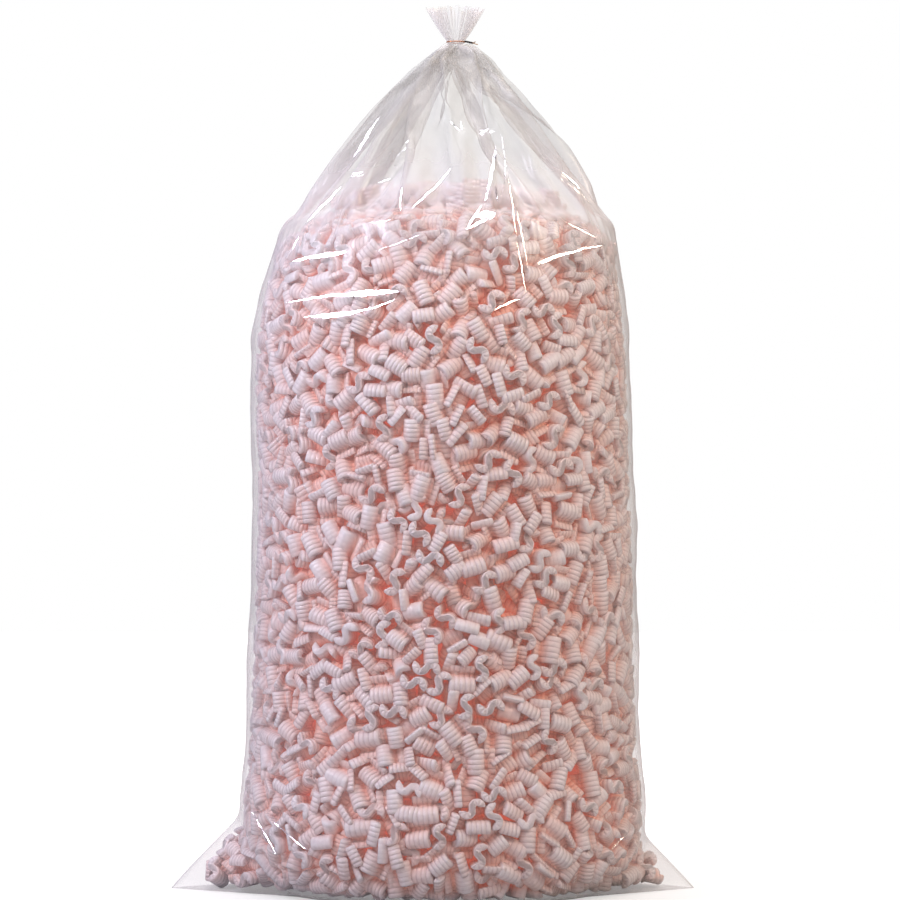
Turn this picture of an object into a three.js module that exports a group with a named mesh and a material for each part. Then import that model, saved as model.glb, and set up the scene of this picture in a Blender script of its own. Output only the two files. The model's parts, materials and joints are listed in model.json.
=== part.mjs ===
// A clear film bag of loose-fill packing peanuts, gathered at the neck and closed with a wire tie.
// Millimetres, +Z up. The origin is on the floor, at the middle of the bag's footprint box.
// -Y is the front. The bag is one tube of film with a straight seal along its foot, so when it
// stands up full the two ends of that seal stick out at the sides as low pointed ears.
import * as THREE from "three";

// ---- Driving dimensions -------------------------------------------------------------------

const TIE_HEIGHT = 1184; // floor to the wire tie
const FRILL_HEIGHT = 48; // open mouth of the bag above the tie
const FOOT_HALF = 232; // half width of the flat foot
const BELLY_HALF = 283; // half width at the widest, low down
const SHOULDER_HALF = 249; // half width where the sides turn in
const SHOULDER_HEIGHT = 846;
const BODY_SHIFT = 15; // the body stands a little to +X of the footprint's middle
const NECK_SHIFT = 33; // and the neck leans further that way
const NECK_RADIUS = 10.5; // gathered film, squeezed by the tie
const THROAT_RADIUS = 4; // what the pleats leave open through the neck
const THROAT_LENGTH = 12; // how far it runs each way from the tie
const DEPTH_SHARE = 0.94; // depth of the bag over its width
const FILM_WALL = 1; // drawn wall of the film
const EAR_TIP = 370; // reach of a foot corner from the origin
const EAR_HALF_WIDTH = 118; // half the ear's root, front to back
const PLEATS = 12; // gathers that run up to the neck
const HEAP_EDGE = 918; // where the heap of peanuts meets the film
const HEAP_RISE = 46; // how far its middle stands above that
const FILL_GAP = 0.8; // between the film and the heap
const EAR_GAP = 4; // the same, low down where the film folds out into the ears
const FILL_EAR_TIP = 326; // the peanuts don't reach the tips of the ears

const PEANUT = { length: 38, thickness: 9.5, width: 28, sweep: 3.55 }; // sweep in radians
const PEANUT_RINGS = [1, 6, 12, 18]; // loose peanuts lying on the heap, ring by ring
const RING_PITCH = 47.5; // more than a peanut's diagonal, so that none overlap
const REST_GAP = 0.6; // under each loose peanut

const WIRE_RADIUS = 0.8;
const TIE_CLEARANCE = 1.4; // neck film to the wire
const TWIST = { turns: 2.5, length: 14, droop: 3.4, spacing: 1.05, start: 2.6 };
const SPLAY = { length: 5, spread: 3.3, rise: 1.8 }; // the two bare ends past the twist
const TAIL_TURN = -0.55; // the twisted tail points to the front right, in radians from +X

const COLUMNS = 60; // five to each pleat
const SIDE_ROWS = 8;
const CONE_ROWS = 8;
const WIRE_SIDES = 6;
const WIRE_STEPS = 130;

// ---- Materials ----------------------------------------------------------------------------

const filmFinish = new THREE.MeshStandardMaterial({
  color: 0xe4e2df,
  roughness: 0.15,
  metalness: 0,
  transparent: true,
  opacity: 0.3,
});
const foamFinish = new THREE.MeshStandardMaterial({
  color: 0xf2c4bd,
  roughness: 0.75,
  metalness: 0,
});
const wireFinish = new THREE.MeshStandardMaterial({
  color: 0x8a4a24,
  roughness: 0.35,
  metalness: 1,
});

// ---- Shared helpers -----------------------------------------------------------------------

// A closed skin over rings that all have the same number of points, with a point at each end. Each
// quad is cut from its lower left to its upper right corner, seen from outside, whether the rings
// rise or fall, so that the two sides of a thin wall stay parallel where the quads are twisted.
function skin(firstPole, rings, lastPole) {
  const columns = rings[0].length;
  const points = [firstPole, ...rings.flat(), lastPole];
  const last = points.length - 1;
  const at = (row, column) => 1 + row * columns + (column % columns);
  const triangles = [];
  for (let c = 0; c < columns; c++) {
    triangles.push(0, at(0, c + 1), at(0, c));
    for (let r = 0; r < rings.length - 1; r++) {
      const rises = rings[r + 1][c].z >= rings[r][c].z;
      const [near, far] = rises ? [c, c + 1] : [c + 1, c];
      triangles.push(at(r, c), at(r, c + 1), at(r + 1, far));
      triangles.push(at(r, near), at(r + 1, c + 1), at(r + 1, c));
    }
    triangles.push(last, at(rings.length - 1, c), at(rings.length - 1, c + 1));
  }
  return new THREE.BufferGeometry().setFromPoints(points).setIndex(triangles);
}

function namedMesh(name, geometry, material) {
  const mesh = new THREE.Mesh(geometry, material);
  mesh.name = name;
  return mesh;
}

// ---- The outline of the bag ---------------------------------------------------------------

// Stations from the floor up: height, half width, sideways shift, and depth of the pleats as a
// share of the half width.
const NECK_FLARE = TIE_HEIGHT - 13;
const stations = [
  { z: 0, half: FOOT_HALF, shift: BODY_SHIFT, pleat: 0 },
  { z: 9, half: FOOT_HALF + 20, shift: BODY_SHIFT, pleat: 0 },
  { z: 34, half: FOOT_HALF + 40, shift: BODY_SHIFT, pleat: 0 },
  { z: 92, half: BELLY_HALF, shift: BODY_SHIFT, pleat: 0 },
  { z: 190, half: BELLY_HALF - 7, shift: BODY_SHIFT, pleat: 0 },
  { z: 520, half: BELLY_HALF - 18, shift: BODY_SHIFT + 2, pleat: 0 },
  { z: SHOULDER_HEIGHT, half: SHOULDER_HALF, shift: BODY_SHIFT, pleat: 0.004 },
  { z: 930, half: SHOULDER_HALF - 22, shift: BODY_SHIFT + 8, pleat: 0.01 },
  { z: 990, half: SHOULDER_HALF - 58, shift: BODY_SHIFT + 13, pleat: 0.02 },
  { z: 1100, half: 106, shift: NECK_SHIFT - 7, pleat: 0.06 },
  { z: NECK_FLARE, half: 38, shift: NECK_SHIFT - 4, pleat: 0.1 },
  { z: TIE_HEIGHT - 3, half: NECK_RADIUS + 1, shift: NECK_SHIFT, pleat: 0.02 },
  { z: TIE_HEIGHT + 3, half: NECK_RADIUS, shift: NECK_SHIFT, pleat: 0.02 },
  { z: TIE_HEIGHT + 14, half: 25, shift: NECK_SHIFT, pleat: 0.12 },
  { z: TIE_HEIGHT + FRILL_HEIGHT, half: 44, shift: NECK_SHIFT - 2, pleat: 0.16 },
];

// A smooth value between the stations at a height.
function between(key, z) {
  const next = Math.max(1, stations.findIndex((s) => s.z >= z));
  const [a, b] = [stations[next - 1], stations[next]];
  const [before, after] = [stations[next - 2] ?? a, stations[next + 1] ?? b];
  const span = b.z - a.z;
  const slopeA = (b[key] - before[key]) / Math.max(b.z - before.z, span);
  const slopeB = (after[key] - a[key]) / Math.max(after.z - a.z, span);
  const t = (z - a.z) / span;
  const [t2, t3] = [t * t, t * t * t];
  return (
    (2 * t3 - 3 * t2 + 1) * a[key] +
    (t3 - 2 * t2 + t) * span * slopeA +
    (3 * t2 - 2 * t3) * b[key] +
    (t3 - t2) * span * slopeB
  );
}

// One ring of the bag at a height, drawn in by an inset. The ear at each side is a triangle in
// plan that gets shorter by its own height.
function ring(z, inset, earTip, height = z) {
  const half = between("half", z) - inset;
  const shift = between("shift", z);
  const pleat = between("pleat", z);
  const points = [];
  for (let c = 0; c < COLUMNS; c++) {
    const angle = (2 * Math.PI * c) / COLUMNS;
    const reach = half * (1 + pleat * Math.cos(PLEATS * angle));
    const y = reach * DEPTH_SHARE * Math.sin(angle);
    const side = Math.cos(angle) < 0 ? -1 : 1;
    const ear = Math.max(0, earTip - z - 2 * inset - (half + side * shift));
    const taper = Math.max(0, 1 - Math.abs(y) / EAR_HALF_WIDTH);
    points.push(new THREE.Vector3(shift + reach * Math.cos(angle) + side * ear * taper, y, height));
  }
  return points;
}

// A ring of the flat foot, part of the way in to the middle.
function footRing(share, height, inset, earTip) {
  const centre = new THREE.Vector3(0, 0, height);
  return ring(0, inset, earTip, height).map((p) => p.lerp(centre, 1 - share));
}

// Heights of the rings up the wall. One of them is the heap's edge, so that the heap's rim and the
// film around it have their corners at the same height.
const risingTo = (from, to, rows, ease) =>
  Array.from({ length: rows }, (_, i) => from + (to - from) * (1 - (1 - (i + 1) / rows) ** ease));
const footHeights = [0, 9, 20, 36, 56, 78, 104];
const wallHeights = [
  ...footHeights,
  ...risingTo(footHeights.at(-1), HEAP_EDGE, SIDE_ROWS, 1.5),
  ...risingTo(HEAP_EDGE, NECK_FLARE, CONE_ROWS, 1.1),
  ...[-3, 3, 14, 30, FRILL_HEIGHT].map((step) => TIE_HEIGHT + step),
];

// ---- Pieces -------------------------------------------------------------------------------

// The film is one skin: up the outside to the open rim, then down the inside to the foot. At the
// neck the bunched pleats leave only a narrow throat.
function bagFilm() {
  const throat = (z) => Math.max(0, 1 - Math.abs(z - TIE_HEIGHT) / THROAT_LENGTH);
  const wall = (z) => FILM_WALL + (NECK_RADIUS - THROAT_RADIUS - FILM_WALL) * throat(z);
  const outside = wallHeights.map((z) => ring(z, 0, EAR_TIP));
  const inside = wallHeights.map((z) => ring(z, wall(z), EAR_TIP, Math.max(z, FILM_WALL)));
  const rings = [
    footRing(0.5, 0, 0, EAR_TIP),
    ...outside,
    ...inside.reverse(),
    footRing(0.5, FILM_WALL, FILM_WALL, EAR_TIP),
  ];
  const middle = (z) => new THREE.Vector3(0, 0, z);
  return skin(middle(0), rings, middle(FILM_WALL));
}

// Height of the heap's top surface at a distance from its middle.
const heapCentre = new THREE.Vector2(between("shift", HEAP_EDGE), 0);
const heapRadius = between("half", HEAP_EDGE) - FILM_WALL - FILL_GAP;
const heapTop = (radius) => HEAP_EDGE + HEAP_RISE * (1 - (radius / heapRadius) ** 2);

// Everything that the film holds up to the heap's top, as one mass of packed peanuts.
function peanutFill() {
  const floor = FILM_WALL + FILL_GAP;
  const folded = (z) => Math.max(0, 1 - z / (EAR_TIP - BELLY_HALF + BODY_SHIFT));
  const inset = (z) => floor + (EAR_GAP - FILL_GAP) * Math.min(1, 3 * folded(z));
  const heights = wallHeights.filter((z) => z <= HEAP_EDGE);
  const walls = heights.map((z) => ring(z, inset(z), FILL_EAR_TIP, Math.max(z, floor)));
  const rim = walls.at(-1);
  const top = new THREE.Vector3(heapCentre.x, heapCentre.y, heapTop(0));
  const dome = [0.8, 0.6, 0.4, 0.2].map((share) =>
    rim.map((p) => p.clone().lerp(top, 1 - share).setZ(heapTop(heapRadius * share))),
  );
  return skin(
    new THREE.Vector3(0, 0, floor),
    [footRing(0.5, floor, inset(0), FILL_EAR_TIP), ...walls, ...dome],
    top,
  );
}

// One peanut: an S of foam ribbon, cut off square. Its S lies in XY and its width runs along Z.
function peanutGeometry() {
  const turn = (PEANUT.length - PEANUT.thickness) / 4; // radius of each lobe's middle line
  const half = PEANUT.thickness / 2;
  const outline = new THREE.Shape();
  outline.absarc(-turn, 0, turn + half, 0, PEANUT.sweep, false);
  outline.absarc(-turn, 0, turn - half, PEANUT.sweep, 0, true);
  outline.absarc(turn, 0, turn + half, Math.PI, Math.PI + PEANUT.sweep, false);
  outline.absarc(turn, 0, turn - half, Math.PI + PEANUT.sweep, Math.PI, true);
  const geometry = new THREE.ExtrudeGeometry(outline, {
    depth: PEANUT.width,
    bevelEnabled: false,
    curveSegments: 3,
    steps: 1,
  });
  return geometry.translate(0, 0, -PEANUT.width / 2);
}

// The loose peanuts that lie on the heap, in rings, each flat on the slope that it rests on.
function loosePeanuts() {
  const lobeHeight = (PEANUT.length + PEANUT.thickness) / 4;
  const poses = [
    { lean: 0, rest: PEANUT.width / 2 }, // lying on a cut face
    { lean: Math.PI / 2, rest: lobeHeight }, // lying on its lobes
  ];
  const geometry = peanutGeometry();
  const meshes = [];
  PEANUT_RINGS.forEach((count, ringNumber) => {
    for (let i = 0; i < count; i++) {
      const serial = meshes.length + 1;
      const angle = (2 * Math.PI * (i + 0.35 * ringNumber)) / count;
      const radius = ringNumber * RING_PITCH;
      const pose = poses[(serial * 5 + ringNumber) % 3 === 0 ? 0 : 1];
      const slope = Math.atan((2 * HEAP_RISE * radius) / heapRadius ** 2);
      const mesh = namedMesh(`peanut_${String(serial).padStart(2, "0")}`, geometry, foamFinish);
      mesh.rotation.set(pose.lean, 0, 0);
      const turned = new THREE.Group().add(mesh);
      turned.rotation.z = serial * 2.4;
      turned.position.z = pose.rest + REST_GAP;
      const onSlope = new THREE.Group().add(turned);
      onSlope.rotation.y = slope;
      const placed = new THREE.Group().add(onSlope);
      placed.rotation.z = angle;
      placed.position.set(
        heapCentre.x + radius * Math.cos(angle),
        heapCentre.y + radius * Math.sin(angle),
        heapTop(radius),
      );
      meshes.push(placed);
    }
  });
  return meshes;
}

// The wire tie: one wire, once round the neck, with its two ends twisted together and splayed.
function wireTie() {
  const loopRadius = NECK_RADIUS + TIE_CLEARANCE + WIRE_RADIUS;
  const opening = Math.asin((TWIST.spacing * 1.6) / loopRadius);
  const start = loopRadius + TWIST.start;
  const strand = (phase) =>
    Array.from({ length: 21 }, (_, i) => {
      const t = i / 20;
      const around = phase + 2 * Math.PI * TWIST.turns * t;
      return new THREE.Vector3(
        start + TWIST.length * t,
        TWIST.spacing * Math.sin(around),
        TWIST.spacing * Math.cos(around) - TWIST.droop * t,
      );
    });
  const tail = start + TWIST.length;
  const low = -TWIST.droop;
  const [first, second] = [strand(Math.PI / 2), strand(-Math.PI / 2)];
  const loop = Array.from({ length: 25 }, (_, i) => {
    const angle = opening + ((2 * Math.PI - 2 * opening) * i) / 24;
    return new THREE.Vector3(loopRadius * Math.cos(angle), loopRadius * Math.sin(angle), 0);
  });
  const end = tail + SPLAY.length;
  const upperEnd = new THREE.Vector3(end, -SPLAY.spread, low + SPLAY.rise);
  const lowerEnd = new THREE.Vector3(end, SPLAY.spread, low - SPLAY.rise);
  const path = new THREE.CatmullRomCurve3(
    [upperEnd, ...first.reverse(), ...loop, ...second, lowerEnd],
    false,
    "centripetal",
  );
  const section = new THREE.Shape(
    Array.from({ length: WIRE_SIDES }, (_, i) => {
      const angle = (2 * Math.PI * i) / WIRE_SIDES;
      return new THREE.Vector2(WIRE_RADIUS * Math.cos(angle), WIRE_RADIUS * Math.sin(angle));
    }),
  );
  const wire = new THREE.ExtrudeGeometry(section, { steps: WIRE_STEPS, extrudePath: path });
  const mesh = namedMesh("wire_tie", wire, wireFinish);
  mesh.rotation.set(0, 0, TAIL_TURN);
  mesh.position.set(NECK_SHIFT, 0, TIE_HEIGHT);
  return mesh;
}

// ---- The bag ------------------------------------------------------------------------------

const bag = new THREE.Group();
bag.add(namedMesh("bag_film", bagFilm(), filmFinish));
bag.add(namedMesh("peanut_fill", peanutFill(), foamFinish));
bag.add(...loosePeanuts());
bag.add(wireTie());

export default bag;
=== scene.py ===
"""A clear film bag of pink packing peanuts, gathered at the neck and closed with a wire tie.

Metres, +Z up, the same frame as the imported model. -Y is the front of the bag.
"""

import json
import logging
import math
from dataclasses import dataclass, field
from enum import Enum

import bmesh
import bpy
import numpy as np
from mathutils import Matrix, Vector

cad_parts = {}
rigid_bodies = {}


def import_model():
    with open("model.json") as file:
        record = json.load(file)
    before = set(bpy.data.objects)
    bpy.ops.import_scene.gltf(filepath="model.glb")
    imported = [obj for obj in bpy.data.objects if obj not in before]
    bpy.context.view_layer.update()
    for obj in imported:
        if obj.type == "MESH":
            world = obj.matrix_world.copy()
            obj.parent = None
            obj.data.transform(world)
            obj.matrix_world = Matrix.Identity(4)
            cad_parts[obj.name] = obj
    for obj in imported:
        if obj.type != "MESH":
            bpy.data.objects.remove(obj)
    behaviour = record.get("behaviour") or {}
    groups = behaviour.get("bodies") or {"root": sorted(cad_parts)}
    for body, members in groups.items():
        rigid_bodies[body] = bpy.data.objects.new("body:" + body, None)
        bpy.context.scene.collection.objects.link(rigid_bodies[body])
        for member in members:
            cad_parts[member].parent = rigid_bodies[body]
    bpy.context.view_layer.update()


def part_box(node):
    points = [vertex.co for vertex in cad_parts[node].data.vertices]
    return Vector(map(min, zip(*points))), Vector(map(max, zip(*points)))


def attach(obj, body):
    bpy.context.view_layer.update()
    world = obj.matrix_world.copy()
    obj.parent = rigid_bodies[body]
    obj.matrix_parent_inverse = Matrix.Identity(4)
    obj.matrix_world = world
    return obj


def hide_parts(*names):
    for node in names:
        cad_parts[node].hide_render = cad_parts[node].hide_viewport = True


LOG = logging.getLogger("packing_peanut_bag")
MM = 0.001
MERGE = 0.01 * MM
SEED = 20
BODY = "root"
LOOSE_COUNT = 37
TIE_HEIGHT = 1.184
NECK_X = 0.033


# ---- Modelling helpers ----------------------------------------------------------------------


def deselect_all() -> None:
    """Leave object mode with nothing selected."""
    if bpy.context.object and bpy.context.object.mode != "OBJECT":
        bpy.ops.object.mode_set(mode="OBJECT")
    bpy.ops.object.select_all(action="DESELECT")


def make_active(piece: bpy.types.Object) -> None:
    """Select one object alone and make it the active one."""
    deselect_all()
    piece.select_set(True)
    bpy.context.view_layer.objects.active = piece


def edit(piece: bpy.types.Object, select: str = "SELECT") -> None:
    """Enter edit mode on a piece.

    Args:
        piece: The object to edit.
        select: SELECT or DESELECT, for all of its geometry.
    """
    make_active(piece)
    bpy.ops.object.mode_set(mode="EDIT")
    bpy.ops.mesh.select_all(action=select)


def done() -> None:
    """Leave edit mode."""
    bpy.ops.object.mode_set(mode="OBJECT")


def linked_object(name: str, data: bpy.types.ID) -> bpy.types.Object:
    """Make an object of a mesh, lamp or camera and link it to the scene."""
    piece = bpy.data.objects.new(name, data)
    bpy.context.scene.collection.objects.link(piece)
    return piece


def mesh_object(name: str, points: np.ndarray, corners: np.ndarray, starts: np.ndarray) -> bpy.types.Object:
    """Make an object from arrays of points and faces.

    Args:
        name: The object's name.
        points: Points, three numbers each.
        corners: The point at each corner of each face, one face after another.
        starts: Where each face starts in corners.

    Returns:
        The new object, linked to the scene.
    """
    mesh = bpy.data.meshes.new(name)
    mesh.vertices.add(points.size // 3)
    mesh.vertices.foreach_set("co", points.astype(np.float32).ravel())
    mesh.loops.add(corners.size)
    mesh.loops.foreach_set("vertex_index", corners.astype(np.int32).ravel())
    mesh.polygons.add(starts.size)
    mesh.polygons.foreach_set("loop_start", starts.astype(np.int32).ravel())
    mesh.update(calc_edges=True)
    return linked_object(name, mesh)


def tube_object(name: str, rings: np.ndarray) -> bpy.types.Object:
    """Make a tube of quads from its rings, from the lowest up, with its normals outwards."""
    rows, columns = rings.shape[:2]
    low = (np.arange(rows - 1)[:, None] * columns + np.arange(columns)).ravel()
    beside = (np.arange(rows - 1)[:, None] * columns + (np.arange(columns) + 1) % columns).ravel()
    quads = np.stack([low, beside, beside + columns, low + columns], 1)
    return mesh_object(name, rings, quads, np.arange(0, quads.size, 4))


def closed_copy(name: str, node: str) -> bpy.types.Object:
    """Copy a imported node's mesh, without its material, and merge its loose triangles."""
    mesh = bpy.data.objects[node].data.copy()
    mesh.materials.clear()
    piece = linked_object(name, mesh)
    edit(piece)
    bpy.ops.mesh.remove_doubles(threshold=MERGE)
    return piece


def apply_modifier(piece: bpy.types.Object, kind: str, **settings: object) -> None:
    """Add one modifier to the active piece, with its settings, and apply it."""
    modifier = piece.modifiers.new(kind.lower(), kind)
    for key, value in settings.items():
        setattr(modifier, key, value)
    bpy.ops.object.modifier_apply(modifier=modifier.name)


def points_of(mesh: bpy.types.Mesh) -> np.ndarray:
    """All of a mesh's points, one row each."""
    points = np.zeros(len(mesh.vertices) * 3)
    mesh.vertices.foreach_get("co", points)
    return points.reshape(-1, 3)


def set_point_value(mesh: bpy.types.Mesh, name: str, values: np.ndarray) -> None:
    """Store one number for each point of a mesh, for its material to read."""
    attribute = mesh.attributes.new(name, "FLOAT", "POINT")
    attribute.data.foreach_set("value", values.astype(np.float32).ravel())


def hand_in(piece: bpy.types.Object, node: str) -> None:
    """Put a finished piece on the bag's one body and hide its node."""
    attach(piece, BODY)
    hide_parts(node)


# ---- Shader helpers -------------------------------------------------------------------------


class Nodes:
    """A node tree that is built line by line, in a material or a node group."""

    def __init__(self, tree: bpy.types.NodeTree) -> None:
        """Start with an empty tree."""
        self.tree = tree
        tree.nodes.clear()

    def add(self, kind: str, inputs: dict | None = None, **settings: object) -> bpy.types.Node:
        """Add one node.

        Args:
            kind: The node's type, without its ShaderNode prefix where it has one.
            inputs: Values or output sockets for its inputs, by name or number.
            **settings: The node's own properties.

        Returns:
            The new node.
        """
        name = kind if kind.startswith("NodeGroup") else "ShaderNode" + kind
        node = self.tree.nodes.new(name)
        for key, value in settings.items():
            setattr(node, key, value)
        for key, value in (inputs or {}).items():
            if isinstance(value, bpy.types.NodeSocket):
                self.tree.links.new(value, node.inputs[key])
            else:
                node.inputs[key].default_value = value
        return node

    def math(self, operation: str, *values: object) -> bpy.types.NodeSocket:
        """Add a Math node and return its output."""
        return self.add("Math", dict(enumerate(values)), operation=operation).outputs[0]

    def blend(self, factor: object, low: object, high: object, mode: str = "MIX") -> bpy.types.NodeSocket:
        """Add a colour Mix node and return its output."""
        node = self.add("Mix", {"Factor": factor}, data_type="RGBA", blend_type=mode)
        for socket, value in ((node.inputs[6], low), (node.inputs[7], high)):
            if isinstance(value, bpy.types.NodeSocket):
                self.tree.links.new(value, socket)
            else:
                socket.default_value = value
        return node.outputs[2]

    def vector(self, operation: str, *values: object) -> bpy.types.NodeSocket:
        """Add a Vector Math node and return its vector."""
        return self.add("VectorMath", dict(enumerate(values)), operation=operation).outputs["Vector"]

    def dot(self, vector: object, way: Vector, offset: float = 0.0) -> bpy.types.NodeSocket:
        """Add the dot product of a socket and a constant direction, plus an offset."""
        product = self.add("VectorMath", {0: vector, 1: tuple(way)}, operation="DOT_PRODUCT")
        return self.math("ADD", product.outputs["Value"], offset)

    def remap(self, value: object, low: float, high: float, to: tuple = (0.0, 1.0)) -> bpy.types.NodeSocket:
        """Stretch the range low to high of a value over another range, and clamp it."""
        inputs = {"Value": value, "From Min": low, "From Max": high, "To Min": to[0], "To Max": to[1]}
        return self.add("MapRange", inputs).outputs["Result"]


def new_material(name: str) -> tuple[bpy.types.Material, Nodes]:
    """Make a node material and return it with its empty tree."""
    material = bpy.data.materials.new(name)
    material.use_nodes = True
    return material, Nodes(material.node_tree)


Colour = tuple[float, float, float, float]


def rgb(red: float, green: float, blue: float) -> Colour:
    """An opaque linear colour."""
    return (red, green, blue, 1.0)


# ---- Finishes -------------------------------------------------------------------------------


@dataclass(frozen=True)
class FoamFinish:
    """Pink expanded foam, almost white where it lies against the film. Deeper in the gaps it is
    painted pink and then salmon, with a salmon emission, by depth below the bag's surface: painted
    shade and painted light, standing in for light that has been through or off the pink foam many
    times. Its grooves are painted darker."""

    face: Colour = rgb(0.84, 0.80, 0.84)
    # Painted shade: pink where the foam lies a little below the bag's surface, and the pink that some
    # peanuts' own tone leans to.
    pink_tone_and_painted_shade: Colour = rgb(0.95, 0.55, 0.45)
    # Painted light and shade: salmon deep in the gaps, also given off there as emission.
    deep: Colour = rgb(0.97, 0.30, 0.17)
    # Painted shade: a darker colour multiplied into the grooves between the ridges.
    painted_groove_shade: Colour = rgb(0.87, 0.81, 0.84)
    ridge_height: float = 1.3 * MM
    cell_size: float = 1400.0
    # Strength of the painted salmon emission deep in the gaps.
    painted_glow: float = 0.15
    roughness: float = 0.22

    def ribbed_foam(self) -> bpy.types.NodeTree:
        """The foam's surface as a node group: ridges along the S, cells, painted shade in the grooves,
        and painted pink and salmon light, with emission, in the depths.

        Returns:
            A group with Cell Scale and Ridge Share inputs, and Colour, Glow and Height outputs.
        """
        group = bpy.data.node_groups.new("ribbed foam", "ShaderNodeTree")
        sockets = group.interface
        for name, value in (("Cell Scale", self.cell_size), ("Ridge Share", 1.0)):
            sockets.new_socket(name, in_out="INPUT", socket_type="NodeSocketFloat").default_value = value
        for name, kind in (("Colour", "Color"), ("Painted Glow", "Color"), ("Height", "Float")):
            sockets.new_socket(name, in_out="OUTPUT", socket_type="NodeSocket" + kind)
        nodes = Nodes(group)
        given = nodes.add("NodeGroupInput")
        across = nodes.add("SeparateXYZ", {0: nodes.add("UVMap", uv_map="ribs").outputs[0]})
        depth = nodes.add("Attribute", attribute_name="depth").outputs["Fac"]
        tone = nodes.add("Attribute", attribute_name="tone").outputs["Fac"]
        wave = nodes.math("SINE", nodes.math("MULTIPLY", across.outputs[1], math.pi))
        wave = nodes.math("ABSOLUTE", wave)
        # Some peanuts are nearly smooth: those whose tone is lowest.
        strength = nodes.remap(tone, 0.0, 0.3, (0.25, 1.0))
        strength = nodes.math("MULTIPLY", given.outputs["Ridge Share"], strength)
        ridge = nodes.math("MULTIPLY", nodes.math("POWER", wave, 0.75), strength)
        where = nodes.add("TexCoord").outputs["Object"]
        cells = nodes.add("TexVoronoi", {"Vector": where, "Scale": given.outputs["Cell Scale"]})
        height = nodes.math("MULTIPLY_ADD", cells.outputs["Distance"], 0.12, ridge)
        # Painted shade and light: pink, then salmon, the deeper a point lies below the bag's surface; far
        # also sets the painted emission.
        painted_pink_share = nodes.remap(depth, 0.0, 0.34)
        far = nodes.remap(depth, 0.22, 0.75)
        colour = nodes.blend(far, nodes.blend(painted_pink_share, self.face, self.pink_tone_and_painted_shade), self.deep)
        # Painted shade: the grooves between the ridges are darkened.
        groove_shade_mask = nodes.math("MULTIPLY", nodes.remap(wave, 0.5, 0.1), strength)
        colour = nodes.blend(groove_shade_mask, colour, nodes.blend(0.85, colour, self.painted_groove_shade, "MULTIPLY"))
        colour = nodes.blend(nodes.remap(tone, 0.0, 1.0, (0.0, 0.22)), colour, self.pink_tone_and_painted_shade)
        # Painted light: salmon emission deep in the gaps.
        painted_glow = nodes.blend(far, rgb(0, 0, 0), self.deep)
        nodes.add("NodeGroupOutput", {"Colour": colour, "Painted Glow": painted_glow, "Height": height})
        return group

    def build(self, name: str, group: bpy.types.NodeTree, ridge_share: float) -> bpy.types.Material:
        """Make the foam's material.

        Args:
            name: The material's name.
            group: The ribbed foam node group.
            ridge_share: How strong the ridges are, from 0 to 1.

        Returns:
            The material.
        """
        material, nodes = new_material(name)
        foam = nodes.add("Group", node_tree=group)
        foam.inputs["Cell Scale"].default_value = self.cell_size
        foam.inputs["Ridge Share"].default_value = ridge_share
        height = {"Strength": 0.9, "Distance": self.ridge_height, "Height": foam.outputs["Height"]}
        bump = nodes.add("Bump", height)
        # The emission is the painted salmon light deep in the gaps.
        shader = nodes.add(
            "BsdfPrincipled",
            {
                "Base Color": foam.outputs["Colour"],
                "Roughness": self.roughness,
                "Specular IOR Level": 0.5,
                "Emission Color": foam.outputs["Painted Glow"],
                "Emission Strength": self.painted_glow,
                "Normal": bump.outputs["Normal"],
            },
        )
        nodes.add("OutputMaterial", {"Surface": shader.outputs[0]})
        return material


class Lamp(Enum):
    """The studio's lamps, by where they stand."""

    KEY = (-1.76, -1.0, 1.72)
    WARM = (1.9, -1.1, 1.80)
    TOP = (0.1, 0.2, 3.1)
    FRONT = (0.1, -1.6, 2.2)
    BACK = (0.0, 2.0, 1.9)


@dataclass(frozen=True)
class PaintedGlint:
    """A painted highlight on the film's front: a lens-shaped spot where the material turns the normal
    halfway between one lamp and the front, so that the film mirrors that lamp to the front.

    start and end are (x, z) on the bag's front in metres. half is its half width in the middle,
    and bow how far its middle stands above the straight line between its ends."""

    start: tuple[float, float]
    end: tuple[float, float]
    half: float
    bow: float = 0.0
    lamp: Lamp = Lamp.KEY


# Painted highlights on the film's front, each turned to one lamp.
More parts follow.
